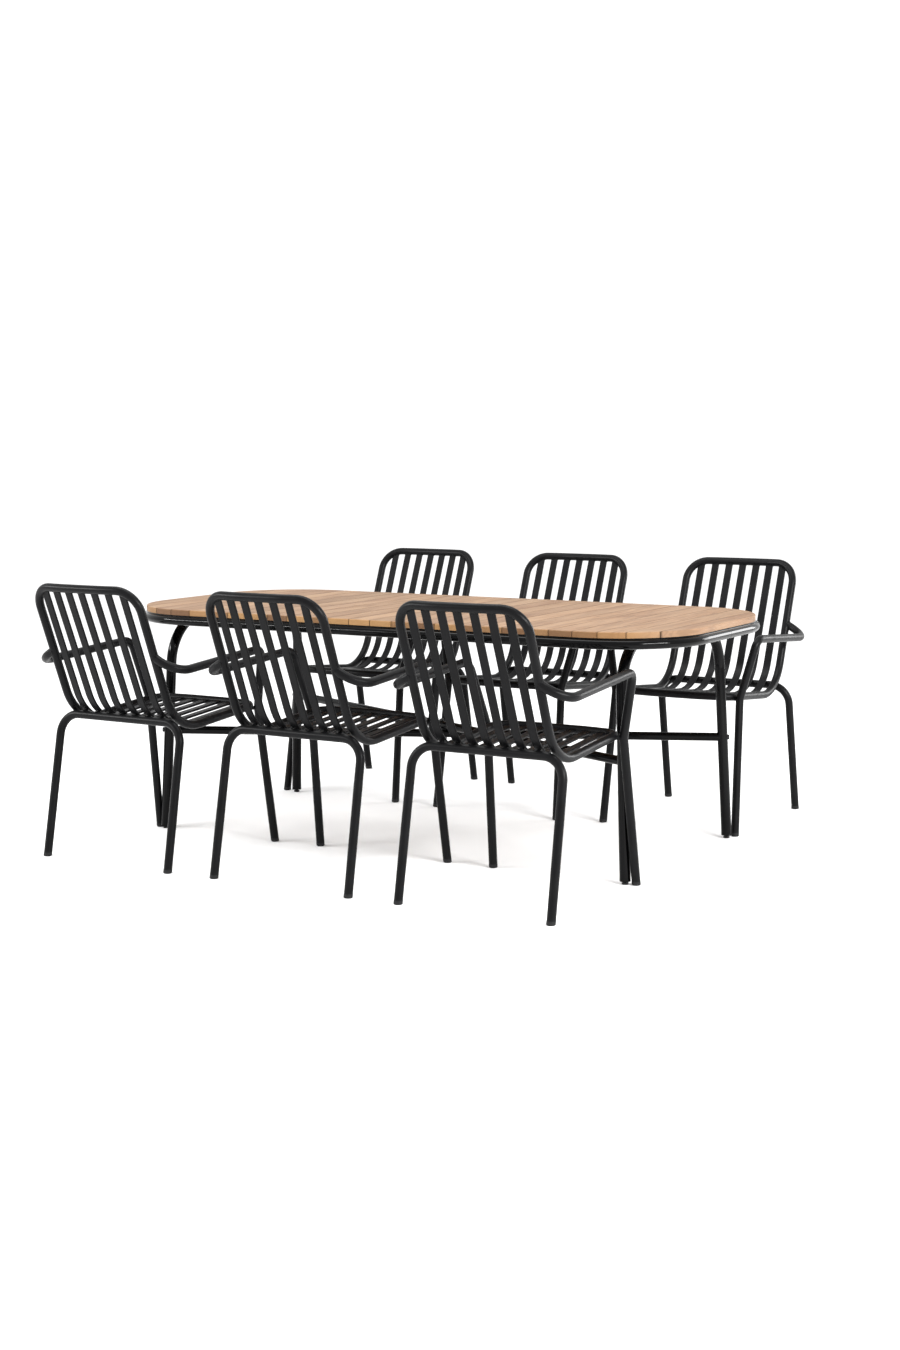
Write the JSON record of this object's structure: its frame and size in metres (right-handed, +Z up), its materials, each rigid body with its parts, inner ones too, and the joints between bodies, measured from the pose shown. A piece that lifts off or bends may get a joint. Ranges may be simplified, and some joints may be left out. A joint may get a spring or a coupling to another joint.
{
  "type": "patio dining set",
  "caption": "Garden dining table with a planked wooden top on crossed-stretcher steel leg frames, with slatted tubular steel armchairs along both long sides.",
  "frame": {"origin": "on the floor, under the middle of the whole set's bounding box", "axes": "+Z up, +X along the table's length, +Y across the table, from the chairs numbered 1 to 3 towards the chairs numbered 4 to 6"},
  "size_m": [2.014, 2.0727, 0.86],
  "materials": {
    "wood_planks": "satin",
    "table_steel": "gloss",
    "chair_steel": "satin",
    "chair_caps": "matte",
    "table_glides": "matte",
    "fasteners": "satin"
  },
  "bodies": {
    "table": {"top_planks_left_end": "wood_planks", "top_planks_left": "wood_planks", "top_planks_middle": "wood_planks", "top_planks_right": "wood_planks", "top_planks_right_end": "wood_planks", "support_band": "table_steel", "near_rail": "table_steel", "middle_rail": "table_steel", "far_rail": "table_steel", "rim_tube_far_half": "table_steel", "rim_tube_near_half": "table_steel", "rim_joint_pins": "fasteners", "right_leg_frame": "table_steel", "left_leg_frame": "table_steel", "low_stretcher": "table_steel", "high_stretcher": "table_steel", "stretcher_bolts": "fasteners", "centre_bolt": "fasteners", "leg_frame_bolts": "fasteners", "plank_screws": "fasteners"},
    "chair_1": {"chair_1_seat_frame": "chair_steel", "chair_1_slats": "chair_steel", "chair_1_rear_legs": "chair_steel", "chair_1_right_arm": "chair_steel", "chair_1_left_arm": "chair_steel", "chair_1_foot_caps": "chair_caps"},
    "chair_2": {"chair_2_seat_frame": "chair_steel", "chair_2_slats": "chair_steel", "chair_2_rear_legs": "chair_steel", "chair_2_right_arm": "chair_steel", "chair_2_left_arm": "chair_steel", "chair_2_foot_caps": "chair_caps"},
    "chair_3": {"chair_3_seat_frame": "chair_steel", "chair_3_slats": "chair_steel", "chair_3_rear_legs": "chair_steel", "chair_3_right_arm": "chair_steel", "chair_3_left_arm": "chair_steel", "chair_3_foot_caps": "chair_caps"},
    "chair_4": {"chair_4_seat_frame": "chair_steel", "chair_4_slats": "chair_steel", "chair_4_rear_legs": "chair_steel", "chair_4_right_arm": "chair_steel", "chair_4_left_arm": "chair_steel", "chair_4_foot_caps": "chair_caps"},
    "chair_5": {"chair_5_seat_frame": "chair_steel", "chair_5_slats": "chair_steel", "chair_5_rear_legs": "chair_steel", "chair_5_right_arm": "chair_steel", "chair_5_left_arm": "chair_steel", "chair_5_foot_caps": "chair_caps"},
    "chair_6": {"chair_6_seat_frame": "chair_steel", "chair_6_slats": "chair_steel", "chair_6_rear_legs": "chair_steel", "chair_6_right_arm": "chair_steel", "chair_6_left_arm": "chair_steel", "chair_6_foot_caps": "chair_caps"},
    "glide_near_left_body": {"glide_near_left": "table_glides"},
    "glide_near_right_body": {"glide_near_right": "table_glides"},
    "glide_far_right_body": {"glide_far_right": "table_glides"},
    "glide_far_left_body": {"glide_far_left": "table_glides"}
  },
  "joints": [
    {"name": "chair_1_slide", "type": "slide", "parent": "table", "child": "chair_1", "axis": [0.0218, 0.9998, 0], "range_m": [-0.5, 0.022]},
    {"name": "chair_2_slide", "type": "slide", "parent": "table", "child": "chair_2", "axis": [0.0209, 0.9998, 0], "range_m": [-0.5, 0.22]},
    {"name": "chair_3_slide", "type": "slide", "parent": "table", "child": "chair_3", "axis": [0, 1, 0], "range_m": [-0.5, 0.022]},
    {"name": "chair_4_slide", "type": "slide", "parent": "table", "child": "chair_4", "axis": [-0.0218, -0.9998, 0], "range_m": [-0.5, 0.034]},
    {"name": "chair_5_slide", "type": "slide", "parent": "table", "child": "chair_5", "axis": [-0.0122, -0.9999, 0], "range_m": [-0.5, 0.22]},
    {"name": "chair_6_slide", "type": "slide", "parent": "table", "child": "chair_6", "axis": [0, -1, 0], "range_m": [-0.5, 0.007]},
    {"name": "glide_near_left_screw", "type": "slide", "parent": "table", "child": "glide_near_left_body", "axis": [0, 0, 1], "range_m": [-0.012, 0.004]},
    {"name": "glide_near_right_screw", "type": "slide", "parent": "table", "child": "glide_near_right_body", "axis": [0, 0, 1], "range_m": [-0.012, 0.004]},
    {"name": "glide_far_right_screw", "type": "slide", "parent": "table", "child": "glide_far_right_body", "axis": [0, 0, 1], "range_m": [-0.012, 0.004]},
    {"name": "glide_far_left_screw", "type": "slide", "parent": "table", "child": "glide_far_left_body", "axis": [0, 0, 1], "range_m": [-0.012, 0.004]}
  ]
}
